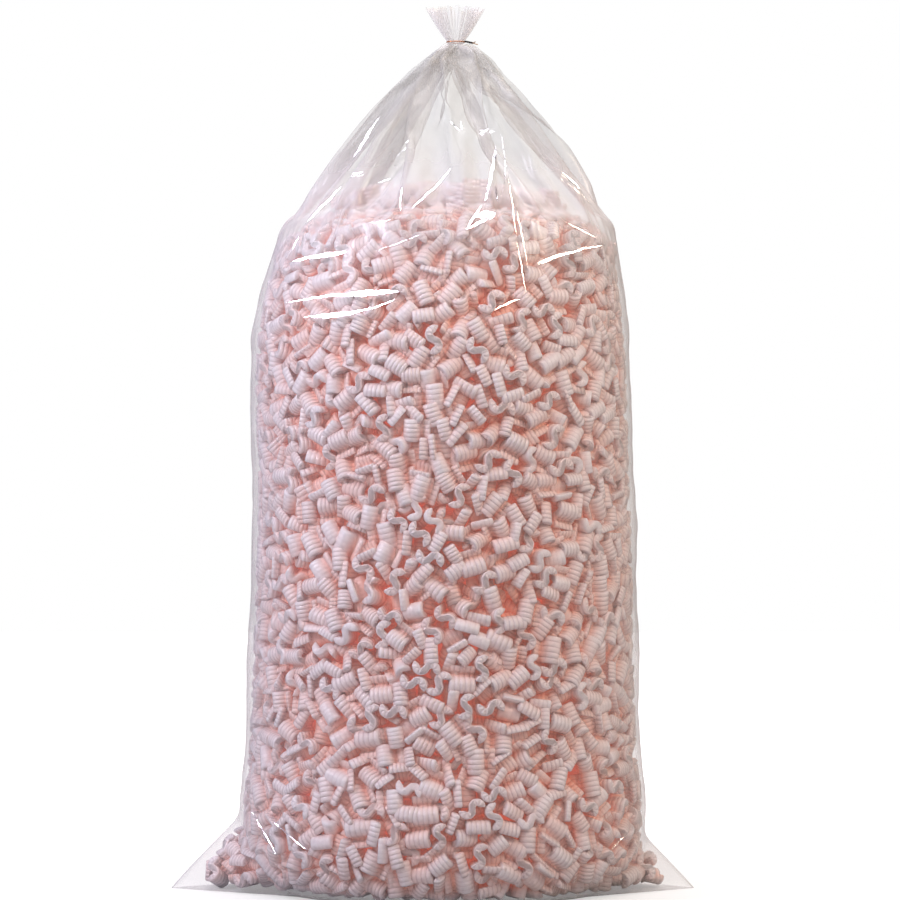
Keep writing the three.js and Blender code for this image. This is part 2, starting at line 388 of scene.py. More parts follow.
PAINTED_GLINTS = (
    # Left shoulder: painted highlights for a short tight fold, and for a long one shaped like an eye.
    PaintedGlint((-0.196, 0.869), (-0.112, 0.880), 2.6 * MM, 1 * MM),
    PaintedGlint((-0.160, 0.873), (-0.112, 0.879), 3.2 * MM),
    PaintedGlint((-0.213, 0.811), (-0.038, 0.823), 1.8 * MM, 4 * MM),
    PaintedGlint((-0.130, 0.820), (-0.040, 0.824), 4.0 * MM, 1 * MM),
    PaintedGlint((-0.178, 0.792), (-0.080, 0.801), 3.0 * MM, -2 * MM),
    PaintedGlint((-0.110, 0.795), (-0.040, 0.818), 1.3 * MM, -2 * MM),
    # Cone, left of the middle: painted highlights for straight pleats down from the neck and for creases
    # over the heap.
    PaintedGlint((-0.060, 1.096), (-0.118, 1.000), 1.0 * MM, -2 * MM),
    PaintedGlint((-0.117, 0.983), (-0.178, 0.917), 1.5 * MM, 1 * MM),
    PaintedGlint((-0.178, 0.911), (-0.195, 0.880), 1.0 * MM),
    PaintedGlint((0.036, 1.005), (-0.036, 0.929), 1.4 * MM, 3 * MM),
    PaintedGlint((-0.039, 0.976), (-0.043, 0.925), 1.1 * MM),
    PaintedGlint((-0.021, 1.045), (-0.058, 1.004), 0.9 * MM),
    PaintedGlint((-0.115, 0.988), (-0.090, 0.991), 1.3 * MM),
    PaintedGlint((-0.077, 0.976), (-0.053, 0.984), 1.8 * MM),
    PaintedGlint((-0.086, 0.877), (0.007, 0.911), 0.7 * MM, -2 * MM),
    PaintedGlint((-0.094, 0.918), (-0.045, 0.925), 0.8 * MM, -2 * MM),
    PaintedGlint((-0.032, 1.149), (-0.016, 1.153), 1.8 * MM),
    # Cone, right of the middle: painted highlights for small flats, and for one tall narrow leaf.
    PaintedGlint((0.022, 1.062), (0.041, 1.044), 1.2 * MM),
    PaintedGlint((0.039, 1.064), (0.042, 1.044), 1.2 * MM),
    PaintedGlint((0.062, 1.046), (0.088, 1.052), 1.2 * MM),
    PaintedGlint((0.043, 0.906), (0.090, 0.929), 2.2 * MM, 1 * MM),
    PaintedGlint((0.046, 0.908), (0.070, 0.944), 1.8 * MM),
    PaintedGlint((0.058, 0.926), (0.088, 0.931), 5.0 * MM),
    PaintedGlint((0.089, 1.039), (0.070, 0.940), 2.4 * MM, 2 * MM),
    PaintedGlint((0.086, 0.972), (0.090, 0.945), 1.8 * MM),
    PaintedGlint((0.091, 1.062), (0.093, 0.947), 0.9 * MM, 8 * MM),
    # Right side: painted highlights for the long double crease, the shoulder's edge and its curved fold.
    PaintedGlint((0.103, 1.003), (0.116, 0.890), 1.1 * MM, -1 * MM, Lamp.WARM),
    PaintedGlint((0.108, 0.960), (0.131, 0.848), 0.9 * MM, 2 * MM, Lamp.WARM),
    PaintedGlint((0.112, 0.905), (0.128, 0.812), 0.8 * MM, 1 * MM, Lamp.WARM),
    PaintedGlint((0.080, 0.796), (0.122, 0.815), 1.5 * MM, 3 * MM, Lamp.WARM),
    PaintedGlint((0.158, 1.056), (0.228, 0.985), 1.0 * MM, 2 * MM, Lamp.WARM),
    PaintedGlint((0.166, 1.040), (0.240, 0.962), 0.6 * MM, 2 * MM, Lamp.WARM),
    PaintedGlint((0.172, 0.998), (0.225, 0.953), 1.6 * MM, 1 * MM, Lamp.WARM),
    PaintedGlint((0.168, 0.932), (0.246, 0.897), 0.9 * MM, -4 * MM, Lamp.WARM),
    PaintedGlint((0.137, 0.858), (0.247, 0.895), 1.6 * MM, 5 * MM, Lamp.WARM),
    PaintedGlint((0.140, 0.862), (0.190, 0.880), 2.2 * MM, 2 * MM, Lamp.WARM),
    # Foot: painted highlights for folds that run down into the ears.
    PaintedGlint((-0.258, 0.131), (-0.203, 0.050), 1.2 * MM, 3 * MM),
    PaintedGlint((-0.227, 0.121), (-0.154, 0.069), 1.2 * MM, -3 * MM),
    PaintedGlint((0.236, 0.062), (0.280, 0.096), 1.2 * MM, 3 * MM, Lamp.WARM),
)


@dataclass(frozen=True)
class FilmFinish:
    """Clear thin film: it shows what is behind it through a light grey veil that thickens where
    it is seen edge on, and mirrors the lamps where it faces halfway to them. Its tint is painted
    darker in the cone and lighter in the frill, and painted highlights turn its normal halfway
    to a lamp in lens-shaped spots of its front."""

    tint: Colour = rgb(0.74, 0.73, 0.75)
    # Painted shade and painted light: the same film is tinted darker in the cone and lighter in the frill.
    cone_tint_painted_darker: Colour = rgb(0.58, 0.58, 0.57)
    frill_tint_painted_lighter: Colour = rgb(0.93, 0.925, 0.93)
    alpha: float = 0.10
    # A thicker veil over the heap's top.
    heap_veil_alpha: float = 0.42
    cone_alpha: float = 0.24
    edge_alpha: float = 0.55
    most_alpha: float = 0.72
    # The glint values are the opacity, mirror and roughness inside the painted highlights.
    glint_alpha: float = 0.75
    mirror: float = 0.10
    glint_mirror: float = 0.9
    roughness: float = 0.26
    glint_roughness: float = 0.10
    ripple: float = 1.6 * MM
    painted_glints: tuple[PaintedGlint, ...] = PAINTED_GLINTS

    def build(self) -> bpy.types.Material:
        """Make the film's material, with ripples along its own UV map and painted highlights on its front.
        """
        material, nodes = new_material("clear film")
        along = nodes.add("UVMap", uv_map="film").outputs[0]
        place = nodes.add("Mapping", {"Vector": along, "Scale": (14.0, 5.0, 1.0)}).outputs[0]
        soft = nodes.add("TexNoise", {"Vector": place, "Scale": 1.0, "Detail": 3.0, "Distortion": 1.2})
        bump = nodes.add("Bump", {"Strength": 0.5, "Distance": self.ripple, "Height": soft.outputs["Fac"]})
        normal, painted_glint_share = self._painted_glints(nodes, bump.outputs["Normal"])
        height = nodes.dot(nodes.add("TexCoord").outputs["Object"], Vector((0, 0, 1)))
        clear = nodes.remap(height, 0.97, 1.05)
        # Painted shade in the cone and painted light in the frill, by height.
        tint = nodes.blend(clear, self.tint, self.cone_tint_painted_darker)
        tint = nodes.blend(nodes.remap(height, TIE_HEIGHT - 20 * MM, TIE_HEIGHT), tint, self.frill_tint_painted_lighter)
        veil = nodes.remap(height, 0.84, 0.97, (self.alpha, self.heap_veil_alpha))
        veil = nodes.math("MULTIPLY_ADD", clear, self.cone_alpha - self.heap_veil_alpha, veil)
        edge = nodes.math("POWER", nodes.add("LayerWeight", {"Blend": 0.5}).outputs["Facing"], 2.0)
        edge_alpha = nodes.remap(clear, 0.0, 1.0, (self.edge_alpha, 0.3 * self.edge_alpha))
        veil = nodes.math("MULTIPLY_ADD", edge, edge_alpha, veil)
        veil = nodes.math("MINIMUM", veil, self.most_alpha)
        # Painted highlights: the film is more opaque, more mirror-like and smoother inside them.
        alpha = nodes.math("MAXIMUM", veil, nodes.math("MULTIPLY", painted_glint_share, self.glint_alpha))
        mirror = nodes.remap(painted_glint_share, 0.0, 1.0, (self.mirror, self.glint_mirror))
        roughness = nodes.remap(painted_glint_share, 0.0, 1.0, (self.roughness, self.glint_roughness))
        shader = nodes.add(
            "BsdfPrincipled",
            {
                "Base Color": tint,
                "Metallic": mirror,
                "Specular IOR Level": 0.25,
                "Roughness": roughness,
                "Alpha": alpha,
                "Normal": normal,
            },
        )
        nodes.add("OutputMaterial", {"Surface": shader.outputs[0]})
        return material

    def _painted_glints(
        self, nodes: Nodes, normal: bpy.types.NodeSocket
    ) -> tuple[bpy.types.NodeSocket, bpy.types.NodeSocket]:
        """Paint highlights: turn the film's normal halfway between each lamp and the front inside that
        lamp's spots.

        Args:
            nodes: The film's material.
            normal: The film's normal without painted highlights.

        Returns:
            The normal with painted highlights, and how much of the film they cover.
        """
        where = nodes.add("TexCoord").outputs["Object"]
        noise = nodes.add("TexNoise", {"Vector": where, "Scale": 60.0, "Detail": 2.0})
        wobble = nodes.math("MULTIPLY_ADD", noise.outputs["Fac"], 5 * MM, -2.5 * MM)
        front = nodes.remap(nodes.dot(where, Vector((0, -1, 0))), 0.0, 0.01)
        uneven = nodes.vector("SUBTRACT", noise.outputs["Color"], (0.5, 0.5, 0.5))
        uneven = nodes.vector("MULTIPLY", uneven, (0.22, 0.22, 0.22))
        all_painted_glint_share = 0.0
        # Painted highlights: inside each lamp's spots the normal is turned halfway between that lamp and
        # the front.
        for lamp in (Lamp.KEY, Lamp.WARM):
            painted_glint_share = 0.0
            for glint in self.painted_glints:
                if glint.lamp is lamp:
                    painted_glint_share = nodes.math("MAXIMUM", painted_glint_share, self._mask(nodes, where, wobble, glint))
            painted_glint_share = nodes.math("MULTIPLY", painted_glint_share, front)
            toward = nodes.vector("NORMALIZE", nodes.vector("SUBTRACT", lamp.value, where))
            halfway = nodes.vector("NORMALIZE", nodes.vector("ADD", toward, (0, -1, 0)))
            mixed = nodes.add("Mix", {0: painted_glint_share}, data_type="VECTOR")
            nodes.tree.links.new(normal, mixed.inputs[4])
            nodes.tree.links.new(nodes.vector("ADD", halfway, uneven), mixed.inputs[5])
            normal = mixed.outputs[1]
            all_painted_glint_share = nodes.math("MAXIMUM", all_painted_glint_share, painted_glint_share)
        return normal, all_painted_glint_share

    def _mask(self, nodes: Nodes, where: object, wobble: object, glint: PaintedGlint) -> bpy.types.NodeSocket:
        """Where one lens-shaped painted highlight is: 1 inside it and 0 outside."""
        start = Vector((glint.start[0], 0, glint.start[1]))
        line = Vector((glint.end[0], 0, glint.end[1])) - start
        way = line.normalized()
        across = Vector((-way.z, 0, way.x))
        share = nodes.dot(where, way / line.length, -start.dot(way) / line.length)
        left = nodes.math("SUBTRACT", 1.0, share)
        swell = nodes.math("MULTIPLY", nodes.math("MULTIPLY", share, left), 4.0)
        beside = nodes.math("ADD", nodes.dot(where, across, -start.dot(across)), wobble)
        beside = nodes.math("MULTIPLY_ADD", swell, -glint.bow, beside)
        outwards = nodes.math("MULTIPLY", nodes.math("ABSOLUTE", beside), -1.0)
        inside = nodes.math("MULTIPLY_ADD", swell, glint.half, outwards)
        return nodes.remap(inside, 0.0, 0.7 * MM)


@dataclass(frozen=True)
class WireFinish:
    """The wire tie: bright copper round the neck, dark where it is twisted, and a painted highlight
    in tan at the cut ends."""

    copper: Colour = rgb(0.62, 0.24, 0.09)
    dark_twist: Colour = rgb(0.035, 0.022, 0.02)
    # Painted highlight: tan on the cut ends.
    painted_highlight_tan: Colour = rgb(0.60, 0.42, 0.27)

    def build(self) -> bpy.types.Material:
        """Make the wire's material, coloured by how far it is from the neck."""
        material, nodes = new_material("wire")
        where = nodes.add("TexCoord").outputs["Object"]
        neck = {0: where, 1: (NECK_X, 0, TIE_HEIGHT)}
        away = nodes.add("VectorMath", neck, operation="DISTANCE").outputs["Value"]
        # Dark where the wire is twisted.
        colour = nodes.blend(nodes.remap(away, 13.5 * MM, 15.5 * MM), self.copper, self.dark_twist)
        # Painted highlight: tan on the wire's ends, far from the neck.
        colour = nodes.blend(nodes.remap(away, 27.5 * MM, 29 * MM), colour, self.painted_highlight_tan)
        inputs = {"Base Color": colour, "Metallic": 0.8, "Roughness": 0.35}
        nodes.add("OutputMaterial", {"Surface": nodes.add("BsdfPrincipled", inputs).outputs[0]})
        return material


@dataclass(frozen=True)
class FloorFinish:
    """A plain pale floor that fades into the white behind it."""

    colour: Colour = rgb(0.42, 0.42, 0.42)

    def build(self) -> bpy.types.Material:
        """Make the floor's material."""
        material, nodes = new_material("pale floor")
        where = nodes.add("TexCoord").outputs["Object"]
        away = nodes.add("VectorMath", {0: where}, operation="LENGTH").outputs["Value"]
        seen = nodes.add("LightPath").outputs["Is Camera Ray"]
        bright = nodes.math("MULTIPLY", nodes.remap(away, 0.35, 1.3, (0.56, 1.0)), seen)
        shader = nodes.add(
            "BsdfPrincipled",
            {
                "Base Color": self.colour,
                "Roughness": 0.8,
                "Emission Color": rgb(1.0, 1.0, 1.0),
                "Emission Strength": bright,
            },
        )
        nodes.add("OutputMaterial", {"Surface": shader.outputs[0]})
        return material


# ---- The outline of the bag -----------------------------------------------------------------


@dataclass(frozen=True)
class Station:
    """The bag's body at one height: half width and sideways shift."""

    height: float
    half: float
    shift: float


@dataclass(frozen=True)
class BagOutline:
    """The bag's outer form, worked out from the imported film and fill."""

    height: float
    heap_top: float
    rise: float = 0.046
    depth_share: float = 0.94
    ear_half_width: float = 0.118
    stations: tuple[Station, ...] = (
        Station(0.000, 0.232, 0.015),
        Station(0.009, 0.252, 0.015),
        Station(0.034, 0.272, 0.015),
        Station(0.092, 0.283, 0.015),
        Station(0.190, 0.276, 0.015),
        Station(0.520, 0.265, 0.017),
        Station(0.846, 0.249, 0.015),
        Station(0.930, 0.227, 0.023),
        Station(0.990, 0.191, 0.028),
        Station(1.100, 0.106, 0.026),
        Station(1.171, 0.038, 0.029),
    )

    @staticmethod
    def from_frame() -> "BagOutline":
        """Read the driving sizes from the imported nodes."""
        _, film_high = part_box("bag_film")
        _, fill_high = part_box("peanut_fill")
        return BagOutline(height=film_high.z, heap_top=fill_high.z)

    @property
    def heap_edge(self) -> float:
        """Height of the heap's rim."""
        return self.heap_top - self.rise

    def between(self, key: str, z: np.ndarray) -> np.ndarray:
        """A smooth value between the stations.

        Args:
            key: half or shift.
            z: Heights.

        Returns:
            The value at each height.
        """
        heights = np.array([s.height for s in self.stations])
        values = np.array([getattr(s, key) for s in self.stations])
        slopes = np.gradient(values, heights)
        slopes[0] = 0.0 if key == "shift" else slopes[0]
        z = np.clip(z, heights[0], heights[-1])
        i = np.clip(np.searchsorted(heights, z) - 1, 0, len(heights) - 2)
        span = heights[i + 1] - heights[i]
        t = (z - heights[i]) / span
        t2, t3 = t * t, t * t * t
        rising = (2 * t3 - 3 * t2 + 1) * values[i] + (t3 - 2 * t2 + t) * span * slopes[i]
        return rising + (3 * t2 - 2 * t3) * values[i + 1] + (t3 - t2) * span * slopes[i + 1]

    def centre(self, z: np.ndarray) -> np.ndarray:
        """Where the bag's middle is along X at each height."""
        return self.between("shift", z)

    def reach(self, angle: np.ndarray, z: np.ndarray, tip: float) -> np.ndarray:
        """How far the film is from the bag's middle.

        Args:
            angle: Directions round the bag, from +X.
            z: Heights.
            tip: How far from the origin the ears' tips are.

        Returns:
            The distance in each direction.
        """
        half, shift = self.between("half", z), self.between("shift", z)
        cos, sin = np.cos(angle), np.sin(angle)
        round_reach = half / np.sqrt(cos**2 + (sin / self.depth_share) ** 2)
        side = np.where(cos < 0, -1.0, 1.0)
        corner = np.maximum(tip - z - side * shift, 1e-4)
        # The ear is a triangle in plan: a straight line from its tip to its root.
        tan = np.abs(sin) / np.maximum(np.abs(cos), 1e-6)
        root = half * 0.86
        slope = self.ear_half_width / np.maximum(corner - root, 1e-4)
        meets = corner * slope / (slope + tan)
        ear = np.where((corner > half) & (meets > root), meets / np.maximum(np.abs(cos), 1e-6), 0.0)
        return np.maximum(round_reach, ear)


# ---- Peanuts --------------------------------------------------------------------------------


class Facing(Enum):
    """Which way a peanut in the outer layer is turned: what it shows to the film."""

    CUT_FACE = "cut face"
    LOBES = "lobes"


@dataclass
class Peanut:
    """One foam peanut: an S of ribbon, ridged along its length and cut off square."""

    length: float = 38 * MM
    thickness: float = 9.5 * MM
    width: float = 28 * MM
    sweep: float = math.radians(203)
    steps: int = 5
    edge: float = 1.6 * MM
    ridges: int = 5
    bumps: float = 4.5

    @property
    def turn(self) -> float:
        """Radius of each lobe's middle line."""
        return (self.length - self.thickness) / 4

    def build(self, name: str, rounded: bool) -> bpy.types.Object:
        """Model the S: a ribbon's end face, spun round one lobe and then back round the other.

        Args:
            name: The object's name.
            rounded: Whether its edges are rounded.

        Returns:
            The peanut, centred on the origin, with its S in XY and its width along Z.
        """
        deselect_all()
        bpy.ops.mesh.primitive_plane_add(size=1)
        piece = bpy.context.object
        piece.name = piece.data.name = name
        edit(piece)
        bpy.ops.transform.resize(value=(self.thickness, self.width, 1))
        bpy.ops.transform.rotate(value=-math.pi / 2, orient_axis="X", center_override=(0, 0, 0))
        self._spin(-self.turn, -self.sweep)
        self._spin(self.turn, self.sweep)
        bpy.ops.mesh.select_all(action="SELECT")
        bpy.ops.mesh.remove_doubles(threshold=MERGE)
        bpy.ops.mesh.normals_make_consistent(inside=False)
        done()
        if rounded:
            self._round_edges(piece)
        self._map_ribs(piece)
        return piece

    def _spin(self, centre_x: float, angle: float) -> None:
        """Spin the selected face round one lobe of the S: from the first lobe's free end to the
        middle where the angle is negative, and from the middle out where it is positive."""
        centre = (centre_x, 0, 0)
        if angle < 0:
            bpy.ops.transform.rotate(value=-angle, orient_axis="Z", center_override=centre)
        bpy.ops.mesh.spin(steps=self.steps, angle=angle, center=centre, axis=(0, 0, 1))

    def _round_edges(self, piece: bpy.types.Object) -> None:
        """Bevel every edge but those inside the two cut faces."""
        edit(piece, "DESELECT")
        bpy.ops.mesh.select_mode(type="EDGE")
        shape = bmesh.from_edit_mesh(piece.data)
        for line in shape.edges:
            line.select = any(abs(face.normal.z) < 0.5 for face in line.link_faces)
        bmesh.update_edit_mesh(piece.data)
        bpy.ops.mesh.bevel(offset=self.edge, segments=1, affect="EDGES")
        done()

    def _map_ribs(self, piece: bpy.types.Object) -> None:
        """Give the peanut a UV map whose V counts ridges: across its width on the skin, and along
        the S on the cut faces."""
        mesh = piece.data
        lobe = [v.co.y for v in mesh.vertices if v.co.x < -self.turn / 2]
        side = 1.0 if sum(lobe) > 0 else -1.0
        layer = mesh.uv_layers.new(name="ribs")
        for face in mesh.polygons:
            flat = abs(face.normal.z) > 0.9
            for loop in face.loop_indices:
                co = mesh.vertices[mesh.loops[loop].vertex_index].co
                along = self._along(co, side)
                across = (co.z / self.width + 0.5) * self.ridges
                layer.data[loop].uv = (along, along * self.bumps if flat else across)
        mesh.shade_smooth()

    def _along(self, point: Vector, side: float) -> float:
        """How far along the S a point is, from -1 to 1, where side is the way the S turns."""
        flip = -1.0 if point.x < 0 else 1.0
        around = math.atan2(-flip * point.y * side, self.turn - flip * point.x)
        around = around + math.tau if around < -0.6 else around
        return flip * around / self.sweep


@dataclass
class PeanutHeap:
    """The peanuts that show: a thick outer layer of the heap, settled against the film.

    Each peanut is packed as a capsule, two balls a short way apart, and then becomes an S."""

    outline: BagOutline
    peanut: Peanut
    finish: FoamFinish
    count: int = 4300
    ball: float = 12.2 * MM
    ball_offset: float = 6 * MM
    layer: float = 40 * MM
    film_gap: float = 3.5 * MM
    floor_gap: float = 8 * MM
    ear_tip: float = 0.366
    over_heap: float = 12 * MM
    shoulder: float = 0.22
    shoulder_drop: float = 14 * MM
    size_range: tuple[float, float] = (0.96, 1.10)
    width_range: tuple[float, float] = (0.95, 1.25)
    cut_face_share: float = 0.36
    settle_steps: int = 150
    sectors: int = 4
    loose: tuple[Vector, ...] = ()

    def depths(self, points: np.ndarray) -> tuple[np.ndarray, np.ndarray]:
        """How deep points are below the bag's surface.

        Args:
            points: Points, one row each.

        Returns:
            The least depth of each point, below the wall, the floor or the heap's top, and the
            direction out towards that surface.
        """
        z = points[:, 2]
        dx, dy = points[:, 0] - self.outline.centre(z), points[:, 1]
        angle, radius = np.arctan2(dy, dx), np.hypot(dx, dy)
        tip, far = self.ear_tip, self.outline.reach
        reach = far(angle, z, tip)
        step = 2 * MM
        slope = (far(angle, z + step, tip) - far(angle, z - step, tip)) / (2 * step)
        turn = 1e-3
        round_slope = (far(angle + turn, z, tip) - far(angle - turn, z, tip)) / (2 * turn)
        round_slope /= np.maximum(reach, 1e-4)
        out = np.stack([np.cos(angle), np.sin(angle), np.zeros_like(z)], 1)
        along = np.stack([-np.sin(angle), np.cos(angle), np.zeros_like(z)], 1)
        normal = out - round_slope[:, None] * along
        normal[:, 2] -= np.clip(slope, -2.0, 2.0)
        size = np.linalg.norm(normal, axis=1)
        wall = (reach - radius) / size - self.film_gap
        normal /= size[:, None]
        out_share = radius / self.shoulder
        heap = self.outline.heap_top + self.over_heap - self.outline.rise * out_share**2
        top = heap - self.shoulder_drop * out_share**6 - z
        floor = z - self.floor_gap
        depth = np.stack([wall, floor, top], 1)
        nearest = depth.argmin(1)
        ways = np.stack([normal, np.tile([0, 0, -1.0], (len(z), 1)), np.tile([0, 0, 1.0], (len(z), 1))], 1)
        rows = np.arange(len(z))
        return depth[rows, nearest], ways[rows, nearest]

    def scatter(self, rng: np.random.Generator) -> np.ndarray:
        """Random points in the outer layer, evenly spread over its volume."""
        kept: list[np.ndarray] = []
        total = 0
        while total < self.count:
            spread = np.array([self.ear_tip * 2, 0.56, self.outline.heap_top])
            points = rng.random((20000, 3)) * spread - np.array([self.ear_tip, 0.28, 0.0])
            depth, _ = self.depths(points)
            inside = points[(depth > 0.6 * self.ball) & (depth < self.layer)]
            kept.append(inside)
            total += len(inside)
        return np.concatenate(kept)[: self.count]

    def settle(self, rng: np.random.Generator) -> tuple[np.ndarray, np.ndarray]:
        """Push the capsules apart and against the film until they pack.

        Returns:
            The capsules' middles and directions.
        """
        middle = self.scatter(rng)
        axis = rng.normal(size=middle.shape)
        axis /= np.linalg.norm(axis, axis=1)[:, None]
        loose = np.array([tuple(place) for place in self.loose]).reshape(-1, 3)
        for _ in range(self.settle_steps):
            balls = np.concatenate([middle + axis * self.ball_offset, middle - axis * self.ball_offset])
            push = self._separate(np.concatenate([balls, loose]))[: len(balls)]
            depth, way = self.depths(balls)
            push -= np.maximum(self.ball - depth, 0)[:, None] * way
            deep = np.maximum(depth - self.layer - self.ball * 0.4, 0)
            push += 0.5 * deep[:, None] * way
            first, second = np.split(push, 2)
            middle += (first + second) / 2
            axis += (first - second) * (0.25 / self.ball_offset)
            axis /= np.linalg.norm(axis, axis=1)[:, None]
        return middle, axis

    def _separate(self, balls: np.ndarray) -> np.ndarray:
        """How far each ball is pushed by those that it overlaps."""
        cell = 2 * self.ball
        grid = np.floor(balls / cell).astype(np.int64) + 100
        key = (grid[:, 0] * 1000 + grid[:, 1]) * 1000 + grid[:, 2]
        order = np.argsort(key, kind="stable")
        ordered = key[order]
        push = np.zeros_like(balls)
        shifts = [(i * 1000 + j) * 1000 + k for i in (-1, 0, 1) for j in (-1, 0, 1) for k in (-1, 0, 1)]
        for shift in shifts:
            start = np.searchsorted(ordered, key + shift, "left")
            stop = np.searchsorted(ordered, key + shift, "right")
            for extra in range(int((stop - start).max(initial=0))):
                one = np.nonzero(start + extra < stop)[0]
                other = order[start[one] + extra]
                apart = balls[one] - balls[other]
                distance = np.linalg.norm(apart, axis=1)
                own = (np.abs(one - other) == self.count) & (np.maximum(one, other) < 2 * self.count)
                hit = (distance < cell) & (distance > 1e-9) & ~own
                one, apart, distance = one[hit], apart[hit], distance[hit]
                move = apart * (0.32 * (cell - distance) / distance)[:, None]
                for column in range(3):
                    push[:, column] += np.bincount(one, move[:, column], len(balls))
        return push

    def facings(self, middle: np.ndarray, axis: np.ndarray, rng: np.random.Generator) -> np.ndarray:
        """Turn each peanut about its capsule, so that the mix of sides it shows is the real one.

        Returns:
            A rotation matrix for each peanut, with its columns the S's length, height and width.
        """
        _, out = self.depths(middle)
        frames = np.zeros((len(middle), 3, 3))
        roll = rng.random(len(middle))
        jitter = rng.normal(0, math.radians(16), len(middle))
        for i, (along, way) in enumerate(zip(axis, out)):
            flat = way - along * way.dot(along)
            size = np.linalg.norm(flat)
            flat = flat / size if size > 1e-3 else np.cross(along, (0.3, 0.5, 0.81))
            flat /= np.linalg.norm(flat)
            facing = Facing.CUT_FACE if roll[i] < self.cut_face_share else Facing.LOBES
            turned = jitter[i] + (0.0 if facing is Facing.CUT_FACE else math.pi / 2)
            side = np.cross(flat, along)
            width = math.cos(turned) * flat + math.sin(turned) * side
            frames[i] = np.stack([along, np.cross(width, along), width], 1)
        return frames

    def build(self) -> list[bpy.types.Object]:
        """Pack the layer and make its peanuts, joined into a few pieces by where they are."""
        rng = np.random.default_rng(SEED)
        middle, axis = self.settle(rng)
        frames = self.facings(middle, axis, rng)
        depth, _ = self.depths(middle)
        outer = depth < self.ball * 1.9
        LOG.info("packed %d peanuts, %d of them against the film", len(middle), int(outer.sum()))
        group = self.finish.ribbed_foam()
        pieces = []
        for name, rounded, chosen, parts in (
            ("peanuts_outer", True, outer, self.sectors),
            ("peanuts_inner", False, ~outer, 2),
        ):
            template = self.peanut.build(name + "_pattern", rounded)
            material = self.finish.build(name.replace("_", " "), group, 1.0)
            angle = np.arctan2(middle[:, 1], middle[:, 0])
            sector = np.floor((angle / math.tau + 0.5) * parts).astype(int) % parts
            for part in range(parts):
                pick = np.nonzero(chosen & (sector == part))[0]
                piece = self.copies(f"{name}_{part + 1}", template, middle[pick], frames[pick], rng)
                piece.data.materials.append(material)
                pieces.append(piece)
            bpy.data.objects.remove(template)
        return pieces

    def copies(
        self,
        name: str,
        template: bpy.types.Object,
        middle: np.ndarray,
        frames: np.ndarray,
        rng: np.random.Generator,
    ) -> bpy.types.Object:
        """Copy the peanut to each place, with its own size, as one mesh.

        Args:
            name: The new piece's name.
            template: The peanut that is copied.
            middle: Where each copy is.
            frames: How each copy is turned.
            rng: Source of the small differences between copies.

        Returns:
            The new piece, with its ribs' UV map and its depth and tone values.
        """
        shape = template.data
        base = points_of(shape)
        corners = np.zeros(len(shape.loops), np.int64)
        shape.loops.foreach_get("vertex_index", corners)
        starts = np.zeros(len(shape.polygons), np.int64)
        shape.polygons.foreach_get("loop_start", starts)
        ribs = np.zeros(len(shape.loops) * 2)
        shape.uv_layers["ribs"].data.foreach_get("uv", ribs)
        count = len(middle)
        scale = rng.uniform(*self.size_range, (count, 1, 1)) * np.ones((count, 1, 3))
        scale[:, :, 2] *= rng.uniform(*self.width_range, (count, 1))
        local = base[None] * scale
        tone = rng.random(count)
        points = np.einsum("nij,nkj->nki", frames, local) + middle[:, None]
        depth, way = self.depths(points.reshape(-1, 3))
        over = np.maximum(-depth.reshape(count, -1), 0)
        worst = over.argmax(1)
        rows = np.arange(count)
        push = over[rows, worst][:, None] * way.reshape(count, -1, 3)[rows, worst]
        points -= push[:, None]
        depth, _ = self.depths(points.reshape(-1, 3))
        copy = np.arange(count)[:, None]
        piece = mesh_object(name, points, corners + copy * len(base), starts + copy * len(corners))
        mesh = piece.data
        layer = mesh.uv_layers.new(name="ribs")
        layer.data.foreach_set("uv", np.tile(ribs, count).astype(np.float32))
        set_point_value(mesh, "depth", np.clip(depth / (50 * MM), 0, 1))
        set_point_value(mesh, "tone", np.repeat(tone, len(base)))
        mesh.shade_smooth()
        LOG.info("%s: %d peanuts, %d faces", name, count, len(mesh.polygons))
        return piece


# ---- The rest of the fill ---------------------------------------------------------------------


@dataclass
class LoosePeanuts:
    """The peanuts that lie loose on the heap, one piece each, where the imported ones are."""

    peanut: Peanut
    edge: float = 1.3 * MM

    def build(self, node: str, material: bpy.types.Material, tone: float) -> bpy.types.Object:
        """Copy a packed peanut, round its edges and map its ribs.

        Args:
            node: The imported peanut's name.
            material: The foam.
            tone: This peanut's own shade, from 0 to 1.

        Returns:
            The finished peanut.
        """
        piece = closed_copy("foam_" + node, node)
        mesh = piece.data
        bpy.ops.mesh.dissolve_limited(angle_limit=math.radians(1))
        done()
        sharp = {"limit_method": "ANGLE", "angle_limit": math.radians(60)}
        apply_modifier(piece, "BEVEL", width=self.edge, segments=2, **sharp)
        across = self._width_axis(mesh)
        points = points_of(mesh)
        layer = mesh.uv_layers.new(name="ribs")
        middle = points.mean(0)
        for face in mesh.polygons:
            flat = abs(face.normal.dot(across)) > 0.9
            for loop in face.loop_indices:
                place = points[mesh.loops[loop].vertex_index] - middle
                rib = 0.5 if flat else (place.dot(across) / self.peanut.width + 0.5) * self.peanut.ridges
                layer.data[loop].uv = (0.0, rib)
        set_point_value(mesh, "depth", np.full(len(points), 0.02))
        set_point_value(mesh, "tone", np.full(len(points), tone))
        mesh.materials.append(material)
        mesh.shade_smooth()
        return piece

    @staticmethod
    def _width_axis(mesh: bpy.types.Mesh) -> Vector:
        """The direction of the peanut's width: the normal of its largest flat faces."""
        return max(mesh.polygons, key=lambda face: face.area).normal.copy()


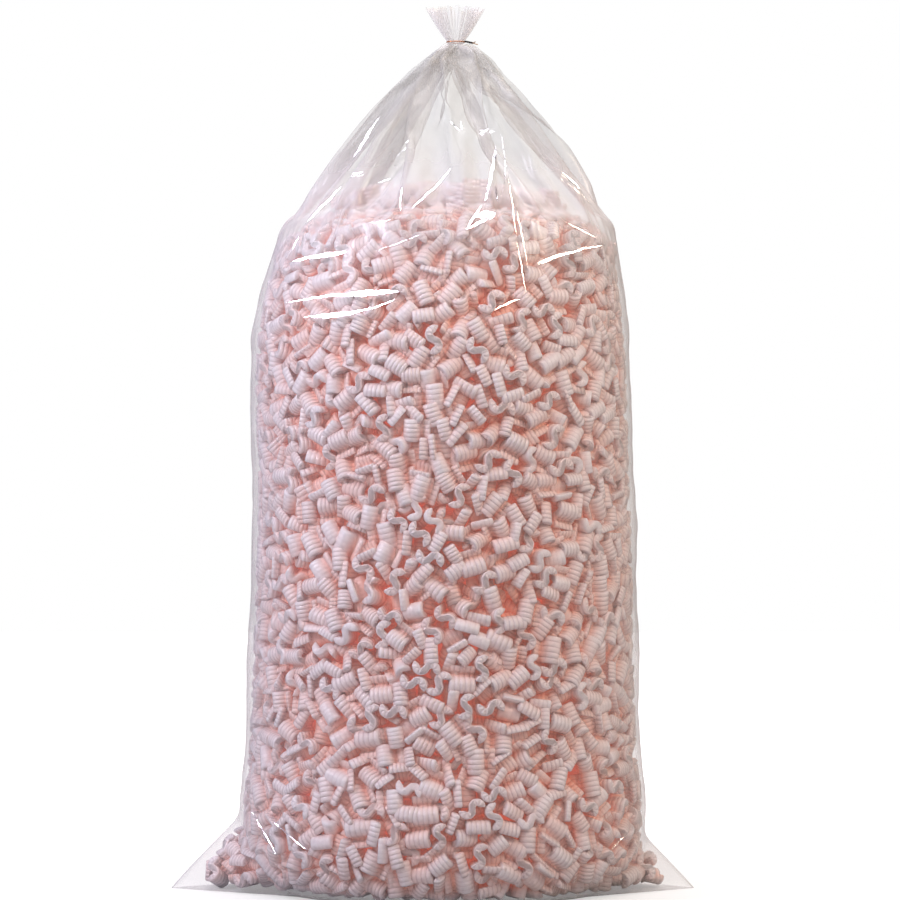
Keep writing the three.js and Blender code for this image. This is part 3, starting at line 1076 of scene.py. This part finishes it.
@dataclass
class HeapCore:
    """The rest of the heap, behind the peanuts that show: one bumpy body of packed foam."""

    outline: BagOutline
    inset: float = 43 * MM
    ear_tip: float = 0.26
    columns: int = 72
    rows: int = 40
    bump: float = 5 * MM

    def build(self, material: bpy.types.Material) -> bpy.types.Object:
        """Loft the core inside the outline, close it and dress it."""
        angle = np.arange(self.columns) / self.columns * math.tau
        top = self.outline.heap_edge - self.inset
        rings = []
        for z in np.linspace(self.inset, top, self.rows):
            height = np.full(self.columns, z)
            reach = self.outline.reach(angle, height, self.ear_tip) - self.inset
            reach += self.bump * np.sin(9 * angle + 70 * z) * np.sin(95 * z + 4 * angle)
            x = self.outline.centre(height) + reach * np.cos(angle)
            rings.append(np.stack([x, reach * np.sin(angle), height], 1))
        low, high = rings[0].mean(0), rings[-1].mean(0)
        bottom = [low + (rings[0] - low) * share for share in (0.01, 0.5)]
        dome = [
            high + (rings[-1] - high) * share + np.array([0, 0, self.outline.rise * (1 - share**2)])
            for share in (0.85, 0.6, 0.3, 0.01)
        ]
        rings = np.stack([*bottom, *rings, *dome])
        core = tube_object("peanuts_core", rings)
        edit(core)
        bpy.ops.mesh.remove_doubles(threshold=4 * MM)
        bpy.ops.mesh.normals_make_consistent(inside=False)
        done()
        mesh = core.data
        mesh.uv_layers.new(name="ribs")
        # A depth of 1 gives the whole core the painted salmon shade and emission of the deepest gaps.
        set_point_value(mesh, "depth", np.ones(len(mesh.vertices)))
        set_point_value(mesh, "tone", np.full(len(mesh.vertices), 0.5))
        mesh.materials.append(material)
        mesh.shade_smooth()
        return core


@dataclass
class WireTie:
    """The wire tie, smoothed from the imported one."""

    finish: WireFinish = field(default_factory=WireFinish)

    def build(self, node: str) -> bpy.types.Object:
        """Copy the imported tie, round its wire and dress it."""
        piece = closed_copy("tie_wire", node)
        bpy.ops.mesh.normals_make_consistent(inside=False)
        done()
        apply_modifier(piece, "SUBSURF", levels=1, render_levels=1)
        piece.data.materials.append(self.finish.build())
        piece.data.shade_smooth()
        return piece


# ---- Film -----------------------------------------------------------------------------------


@dataclass
class FilmBag:
    """The bag's film: one tube, sealed along the foot, that the heap fills and the tie gathers.

    The body follows the heap. The cone above it is let loose as cloth while the neck is drawn in."""

    outline: BagOutline
    finish: FilmFinish
    tie_height: float
    neck_x: float
    columns: int = 176
    ear_tip: float = 0.372
    stand_off: float = 2.5 * MM
    body_rows: int = 46
    body_top: float = 0.745
    cone_rows: int = 56
    cone_length: float = 0.552
    blow: float = 0.8
    lean: float = 9 * MM
    flare: float = 0.035
    heap_gap: float = 3.5 * MM
    held_rows: int = 3
    frill_rows: int = 7
    neck_radius: float = 8.5 * MM
    frill_spread: float = 25 * MM
    pleat_depth: float = 3.2 * MM
    frill_depth: float = 6 * MM
    pleats: int = 34
    body_radius: float = 0.27
    frames: int = 30
    lay_flat: tuple[float, float] = (0.85, 1.4)

    def __post_init__(self) -> None:
        """Work out the columns' directions and the pleats' phases."""
        self.rng = np.random.default_rng(SEED + 1)
        self.angle = np.arange(self.columns) / self.columns * math.tau
        steps = np.cumsum(self.rng.uniform(0.4, 1.6, self.columns))
        self.phase = steps / steps[-1] * self.pleats * math.tau

    def ring(self, z: float, share: float = 1.0) -> np.ndarray:
        """One ring of the body's film.

        Args:
            z: The ring's height.
            share: How far it is from the foot's seal, for a ring on the floor.

        Returns:
            The ring's points, one row each.
        """
        heights = np.full(self.columns, z)
        reach = self.outline.reach(self.angle, heights, self.ear_tip)
        reach += self.stand_off * np.cos(self.angle) ** 4 * min(1.0, z / 0.3)
        x = self.outline.centre(heights) + reach * np.cos(self.angle)
        return np.stack([x, reach * np.sin(self.angle) * share, np.maximum(heights, 0.3 * MM)], 1)

    def gathered_ring(self, share: float) -> np.ndarray:
        """One ring of the pleated frill, from the neck, 0, to the open mouth, 1."""
        base = self.neck_radius + self.frill_spread * share**0.8
        depth = self.pleat_depth + self.frill_depth * share
        reach = base + depth * np.sin(self.phase) + 2.5 * MM * share * np.sin(self.phase * 0.37 + 1)
        turned = self.angle + 0.1 * share * np.sin(self.phase * 0.5)
        height = self.tie_height + (self.outline.height - self.tie_height) * share
        ragged = 3 * MM * share * np.sin(self.phase * 0.21)
        x = self.neck_x + reach * np.cos(turned)
        return np.stack([x, reach * np.sin(turned), height - np.abs(ragged)], 1)

    def tube_ring(self, length: float) -> np.ndarray:
        """One ring of the tube above the body before it is gathered."""
        ring = self.ring(self.body_top)
        flare = 1 + self.flare * min(1.0, length / 0.2)
        centre = np.array([self.outline.stations[0].shift, 0, 0])
        ring = (ring - centre) * np.array([flare, flare, 1]) + centre
        ring[:, 2] += length
        return ring

    def collider(self) -> bpy.types.Object:
        """The heap's surface, for the film to rest on while it is gathered."""
        columns = 96
        angle = np.arange(columns) / columns * math.tau
        rings = []
        edge = self.outline.heap_edge
        for z in np.linspace(0.70, edge + 8 * MM, 26):
            height = np.full(columns, z)
            reach = self.outline.reach(angle, height, 0) - self.heap_gap
            x = self.outline.centre(height) + reach * np.cos(angle)
            rings.append(np.stack([x, reach * np.sin(angle), height], 1))
        rim = rings[-1]
        middle = float(self.outline.centre(np.array([edge]))[0])
        top = np.array([middle, 0, self.outline.heap_top + 12 * MM])
        for share in (0.93, 0.82, 0.65, 0.45, 0.25, 0.08):
            ring = top + (rim - top) * share
            ring[:, 2] = rim[0, 2] + (top[2] - rim[0, 2]) * (1 - share**2)
            rings.append(ring)
        piece = tube_object("heap_collider", np.stack(rings))
        make_active(piece)
        bpy.ops.object.modifier_add(type="COLLISION")
        piece.collision.thickness_outer = 2 * MM
        piece.collision.cloth_friction = 1
        return piece

    def gather(self) -> np.ndarray:
        """Gather the cone: draw the neck in on a loose tube and let the film fold as cloth.

        Returns:
            The settled rings, from the body's top row to the neck.
        """
        lengths = np.linspace(0, self.cone_length, self.cone_rows)
        rings = np.stack([self.tube_ring(length) for length in lengths])
        start = rings + self.rng.normal(0, 0.5 * MM, rings.shape)
        start[: self.held_rows] = rings[: self.held_rows]
        target = start.copy()
        neck = self.gathered_ring(0)
        for back in (0, 1):
            target[-1 - back] = neck - np.array([0, 0, 5 * MM * back])
        piece = tube_object("film_cloth", start)
        collider = self.collider()
        make_active(piece)
        piece.shape_key_add(name="open")
        drawn_in = piece.shape_key_add(name="drawn in")
        drawn_in.data.foreach_set("co", target.astype(np.float32).ravel())
        for value, frame in ((0.0, 1), (1.0, self.frames - 7)):
            drawn_in.value = value
            drawn_in.keyframe_insert("value", frame=frame)
        group = piece.vertex_groups.new(name="held")
        low = list(range(self.held_rows * self.columns))
        high = list(range((self.cone_rows - 2) * self.columns, self.cone_rows * self.columns))
        group.add(low + high, 1.0, "REPLACE")
        cloth = piece.modifiers.new("cloth", "CLOTH")
        self._cloth_settings(cloth)
        for frame in range(1, self.frames + 1):
            bpy.context.scene.frame_set(frame)
        settled = piece.evaluated_get(bpy.context.evaluated_depsgraph_get())
        rings = points_of(settled.data).reshape(self.cone_rows, self.columns, 3)
        bpy.context.scene.frame_set(1)
        bpy.data.objects.remove(piece)
        bpy.data.objects.remove(collider)
        high = np.clip((rings[..., 2] - 0.93) / (self.tie_height - 0.93), 0, 1)
        rings[..., 0] -= self.lean * np.sin(high**1.6 * math.pi)
        return self._pull_tight(rings)

    @staticmethod
    def _pull_tight(rings: np.ndarray) -> np.ndarray:
        """Smooth the small upright wrinkles out of the film where the heap holds it tight."""
        waves = np.fft.rfft(rings, axis=1)
        waves[:, 9:] = 0
        smooth = np.fft.irfft(waves, n=rings.shape[1], axis=1)
        loose = np.clip((rings[..., 2:] - 0.82) / 0.14, 0, 1)
        return smooth + (rings - smooth) * loose

    def _cloth_settings(self, cloth: bpy.types.Modifier) -> None:
        """Set the cloth up as thin film: hard to stretch, easy to fold, and slightly blown out."""
        film = cloth.settings
        film.quality = 5
        film.mass = 0.02
        film.tension_stiffness = film.compression_stiffness = 30
        film.shear_stiffness = 8
        film.bending_stiffness = 0.05
        film.tension_damping = film.compression_damping = film.shear_damping = 5
        film.bending_damping = 0.5
        film.vertex_group_mass = "held"
        film.effector_weights.gravity = 0
        film.use_pressure = True
        film.uniform_pressure_force = self.blow
        cloth.collision_settings.use_collision = True
        cloth.collision_settings.distance_min = 2 * MM
        cloth.collision_settings.collision_quality = 2
        cloth.point_cache.frame_start = 1
        cloth.point_cache.frame_end = self.frames

    def rings(self) -> np.ndarray:
        """All the film's rings, from the foot's seal to the open mouth."""
        foot = [self.ring(0, share) for share in (0.0, 0.25, 0.5, 0.75)]
        low = np.linspace(0, 1, self.body_rows) ** 1.15 * self.body_top
        body = [self.ring(z) for z in low[:-1]]
        frill = [self.gathered_ring(k / self.frill_rows) for k in range(1, self.frill_rows + 1)]
        cone = self.gather()
        return np.stack([*foot, *body, *cone, *frill])

    def build(self) -> bpy.types.Object:
        """Make the film, smooth it, ripple it and dress it."""
        rings = self.rings()
        film = tube_object("film", rings)
        self._map_film(film, rings)
        make_active(film)
        apply_modifier(film, "SUBSURF", levels=1, render_levels=1)
        edit(film)
        bpy.ops.mesh.remove_doubles(threshold=0.05 * MM)
        bpy.ops.mesh.normals_make_consistent(inside=False)
        done()
        self._ripple(film)
        film.data.shade_smooth()
        film.data.materials.append(self.finish.build())
        return film

    def _map_film(self, film: bpy.types.Object, rings: np.ndarray) -> None:
        """Give the film a UV map in metres: U round the tube and V up it."""
        across = np.arange(self.columns + 1) / self.columns * 2 * self.lay_flat[0]
        steps = np.linalg.norm(np.diff(rings, axis=0), axis=2).mean(1)
        up = np.concatenate([[0], np.cumsum(steps)])
        rows, columns = np.meshgrid(np.arange(len(rings) - 1), np.arange(self.columns), indexing="ij")
        u = np.stack([across[columns], across[columns + 1], across[columns + 1], across[columns]], -1)
        v = np.stack([up[rows], up[rows], up[rows + 1], up[rows + 1]], -1)
        layer = film.data.uv_layers.new(name="film")
        layer.data.foreach_set("uv", np.stack([u, v], -1).astype(np.float32).ravel())

    def _ripple(self, film: bpy.types.Object) -> None:
        """Press the body's film lightly in and out between the peanuts that hold it."""
        mesh = film.data
        points = points_of(mesh)
        normals = np.zeros(len(points) * 3)
        mesh.vertices.foreach_get("normal", normals)
        angle, up = np.arctan2(points[:, 1], points[:, 0]), points[:, 2]
        lift = np.zeros(len(points))
        for size, wavelength, waves in ((1.5 * MM, 0.16, 10), (0.45 * MM, 0.045, 24)):
            for _ in range(waves):
                way = self.rng.uniform(0, math.tau)
                count = round(math.cos(way) * math.tau * self.body_radius / wavelength)
                wave = count * angle + math.sin(way) * math.tau / wavelength * up
                lift += size / math.sqrt(waves) * np.cos(wave + self.rng.uniform(0, math.tau))
        body = np.clip((0.90 - up) / 0.12, 0, 1) * np.clip((up - 0.01) / 0.06, 0, 1)
        points += normals.reshape(-1, 3) * (lift * body)[:, None]
        mesh.vertices.foreach_set("co", points.astype(np.float32).ravel())
        mesh.update()


# ---- Studio ---------------------------------------------------------------------------------


@dataclass(frozen=True)
class Studio:
    """Plain floor, soft lights and a long lens at the bag's mid height."""

    aim: Vector = field(default_factory=lambda: Vector((0.025, 0.0, 0.613)))
    lit: Vector = field(default_factory=lambda: Vector((0.02, 0.0, 0.80)))
    cool: Colour = rgb(0.82, 0.77, 1.0)
    warm: Colour = rgb(1.0, 0.85, 0.68)
    distance: float = 5.0
    view_height: float = 1.26

    def build(self) -> None:
        """Set up the floor, the lights, the sky and the camera."""
        self._floor()
        self._light("key", Lamp.KEY, 0.5, 29, (0.90, 0.87, 1.0))
        self._light("warm", Lamp.WARM, 0.5, 18, (1.0, 0.80, 0.62))
        self._light("top", Lamp.TOP, 1.0, 18, (1.0, 0.98, 0.97))
        self._light("back", Lamp.BACK, 1.2, 18, (1.0, 0.98, 0.97)).visible_glossy = False
        self._light("front", Lamp.FRONT, 1.2, 17, (1.0, 0.97, 0.95)).visible_glossy = False
        scene = bpy.context.scene
        scene.world = self._sky()
        scene.view_settings.view_transform = "Standard"
        scene.cycles.transparent_max_bounces = 64
        self._camera()

    def _sky(self) -> bpy.types.World:
        """White to look at, and a soft light that is cool from the left, warm from the right and
        weaker from below."""
        world = bpy.data.worlds.new("studio")
        world.use_nodes = True
        nodes = Nodes(world.node_tree)
        way = nodes.add("SeparateXYZ", {0: nodes.add("TexCoord").outputs["Generated"]})
        colour = nodes.blend(nodes.remap(way.outputs[0], -0.8, 0.8), self.cool, self.warm)
        strength = nodes.remap(way.outputs[2], -0.15, 1.0, (0.04, 0.88))
        lit = nodes.add("Background", {"Color": colour, "Strength": strength})
        seen = nodes.add("Background", {"Color": rgb(1.0, 1.0, 1.0), "Strength": 1.0})
        camera = nodes.add("LightPath").outputs["Is Camera Ray"]
        both = nodes.add("MixShader", {0: camera, 1: lit.outputs[0], 2: seen.outputs[0]})
        nodes.add("OutputWorld", {"Surface": both.outputs[0]})
        return world

    def _floor(self) -> None:
        """A wide pale floor under the bag."""
        deselect_all()
        bpy.ops.mesh.primitive_plane_add(size=14)
        floor = bpy.context.object
        floor.name = "floor"
        floor.data.materials.append(FloorFinish().build())

    def _light(self, name: str, place: Lamp, size: float, power: float, colour: tuple) -> bpy.types.Object:
        """Add one soft square light that points at the bag's upper half, and return it."""
        lamp = bpy.data.lights.new(name, "AREA")
        lamp.energy, lamp.size, lamp.color = power, size, colour
        light = linked_object(name, lamp)
        light.location = place.value
        light.rotation_euler = (self.lit - light.location).to_track_quat("-Z", "Y").to_euler()
        return light

    def _camera(self) -> None:
        """A camera in front of the bag."""
        data = bpy.data.cameras.new("camera")
        data.sensor_width = 36
        data.lens = data.sensor_width * self.distance / self.view_height
        camera = linked_object("camera", data)
        camera.location = self.aim + Vector((0, -self.distance, 0))
        camera.rotation_euler = (math.pi / 2, 0, 0)
        bpy.context.scene.camera = camera


# ---- Main -----------------------------------------------------------------------------------


def main() -> None:
    """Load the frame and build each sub-assembly in order."""
    logging.basicConfig(level=logging.INFO, format="%(message)s")
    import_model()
    outline = BagOutline.from_frame()
    Studio().build()
    nodes = [f"peanut_{number:02d}" for number in range(1, LOOSE_COUNT + 1)]
    places = [sum(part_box(node), Vector()) / 2 for node in nodes]
    heap = PeanutHeap(outline, Peanut(), FoamFinish(), loose=tuple(places))
    packed = heap.build()
    loose_foam = bpy.data.materials["peanuts outer"]
    packed.append(HeapCore(outline).build(bpy.data.materials["peanuts inner"]))
    for piece in packed:
        hand_in(piece, "peanut_fill")
    loose = LoosePeanuts(heap.peanut)
    for number, node in enumerate(nodes):
        piece = loose.build(node, loose_foam, number * 0.618 % 1)
        hand_in(piece, node)
    tie = WireTie().build("wire_tie")
    hand_in(tie, "wire_tie")
    bag = FilmBag(outline, FilmFinish(), tie_height=TIE_HEIGHT, neck_x=NECK_X)
    film = bag.build()
    hand_in(film, "bag_film")
    LOG.info("film: %d faces", len(film.data.polygons))


if __name__ == "__main__":
    main()
